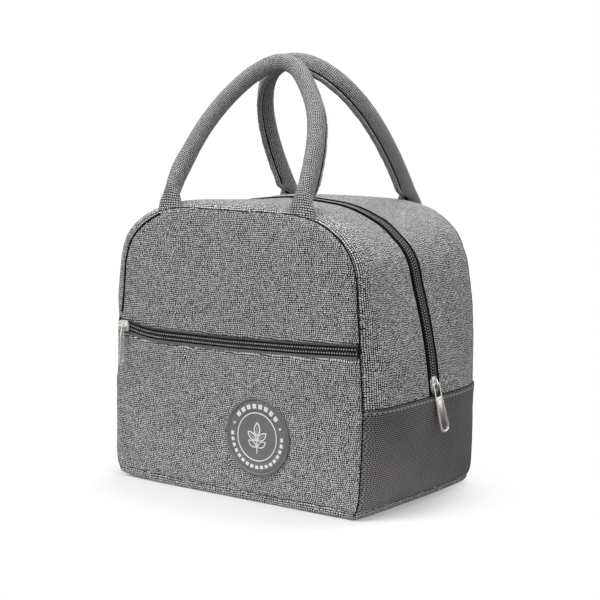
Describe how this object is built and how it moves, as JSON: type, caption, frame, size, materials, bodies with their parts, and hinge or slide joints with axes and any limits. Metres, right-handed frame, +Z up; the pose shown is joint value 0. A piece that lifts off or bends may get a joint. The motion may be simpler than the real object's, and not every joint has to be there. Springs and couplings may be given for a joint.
{
  "type": "insulated lunch bag",
  "caption": "Soft insulated lunch bag with an over-the-top zip opening, zipped front pocket, rolled carrying handles, padded walls, stiffened floor and round moulded badge.",
  "frame": {"origin": "middle of the underside, on the surface that the bag stands on", "axes": "+X to the right along the front, +Y from the front panel to the back panel, +Z up"},
  "size_m": [0.248, 0.1659, 0.3099],
  "materials": {
    "body_fabric": "mid-grey melange woven polyester, matt, with slubs",
    "dark_fabric": "dark warm-grey twill-embossed polyester, matt",
    "handle_fabric": "mid-grey coarse basket weave, matt",
    "liner": "silver-grey wipe-clean PEVA sheet, soft satin",
    "foam": "white closed-cell polyethylene foam sheet",
    "board": "stiff polypropylene sheet",
    "zip_tape": "charcoal woven tape, matt",
    "zip_coil": "charcoal nylon coil, slight sheen",
    "zip_metal": "nickel-plated zinc, satin, lightly worn",
    "badge_base": "soft grey moulded PVC, matt",
    "badge_print": "white filled PVC, matt",
    "cord": "white polypropylene filler cord"
  },
  "bodies": {
    "base": {"bottom_panel": "body_fabric", "bottom_board": "board", "bottom_foam": "foam", "lower_liner": "liner", "end_patch_right": "dark_fabric", "end_patch_left": "dark_fabric", "front_gusset_lower": "body_fabric", "back_gusset_lower": "body_fabric", "pocket_panel_lower": "body_fabric", "back_panel_lower": "body_fabric", "front_foam_lower": "foam", "back_foam_lower": "foam", "end_foam_right": "foam", "end_foam_left": "foam", "main_zip_end_right": "zip_coil", "main_zip_end_left": "zip_coil", "badge": "badge_base", "badge_ring": "badge_print", "badge_emblem": "badge_print"},
    "front_half": {"front_panel": "body_fabric", "pocket_panel_upper": "body_fabric", "pocket_backing": "zip_tape", "front_gusset": "body_fabric", "front_foam": "foam", "front_liner": "liner", "main_zip_tape_front": "zip_tape", "main_zip_coil_front": "zip_coil", "pocket_zip_tape_upper": "zip_tape", "pocket_zip_tape_lower": "zip_tape", "pocket_zip_coil_upper": "zip_coil", "pocket_zip_coil_lower": "zip_coil", "pocket_zip_stops": "zip_coil"},
    "back_half": {"back_panel": "body_fabric", "back_gusset": "body_fabric", "back_foam": "foam", "back_liner": "liner", "main_zip_tape_back": "zip_tape", "main_zip_coil_back": "zip_coil"},
    "front_handle": {"front_handle_cover": "handle_fabric", "front_handle_core": "cord", "front_handle_tabs": "handle_fabric"},
    "back_handle": {"back_handle_cover": "handle_fabric", "back_handle_core": "cord", "back_handle_tabs": "handle_fabric"},
    "main_slider": {"main_slider": "zip_metal"},
    "main_pull": {"main_pull": "zip_metal"},
    "pocket_slider": {"pocket_slider": "zip_metal"},
    "pocket_pull": {"pocket_pull": "zip_metal"}
  },
  "joints": [
    {"name": "front_half_open", "type": "hinge", "parent": "base", "child": "front_half", "pos_m": [0, -0.0805, 0.09], "axis": [1, 0, 0], "range_deg": [0, 24]},
    {"name": "back_half_open", "type": "hinge", "parent": "base", "child": "back_half", "pos_m": [0, 0.0805, 0.09], "axis": [-1, 0, 0], "range_deg": [0, 24]},
    {"name": "front_handle_swing", "type": "hinge", "parent": "front_half", "child": "front_handle", "pos_m": [0, -0.076, 0.2015], "axis": [1, 0, 0], "range_deg": [0, 165]},
    {"name": "back_handle_swing", "type": "hinge", "parent": "back_half", "child": "back_handle", "pos_m": [0, 0.076, 0.2015], "axis": [-1, 0, 0], "range_deg": [0, 170]},
    {"name": "main_slider_travel", "type": "slide", "parent": "base", "child": "main_slider", "axis": [-0.1301, 0, 0.9915], "range_m": [0, 0.018]},
    {"name": "main_pull_lift", "type": "hinge", "parent": "main_slider", "child": "main_pull", "pos_m": [0.12025, 0, 0.08413], "axis": [0.0203, -0.9877, -0.1551], "range_deg": [0, 160]},
    {"name": "pocket_slider_travel", "type": "slide", "parent": "front_half", "child": "pocket_slider", "axis": [1, 0, 0], "range_m": [0, 0.19]},
    {"name": "pocket_pull_lift", "type": "hinge", "parent": "pocket_slider", "child": "pocket_pull", "pos_m": [-0.096, -0.0815, 0.1125], "axis": [-1, 0, 0], "range_deg": [0, 150]}
  ]
}
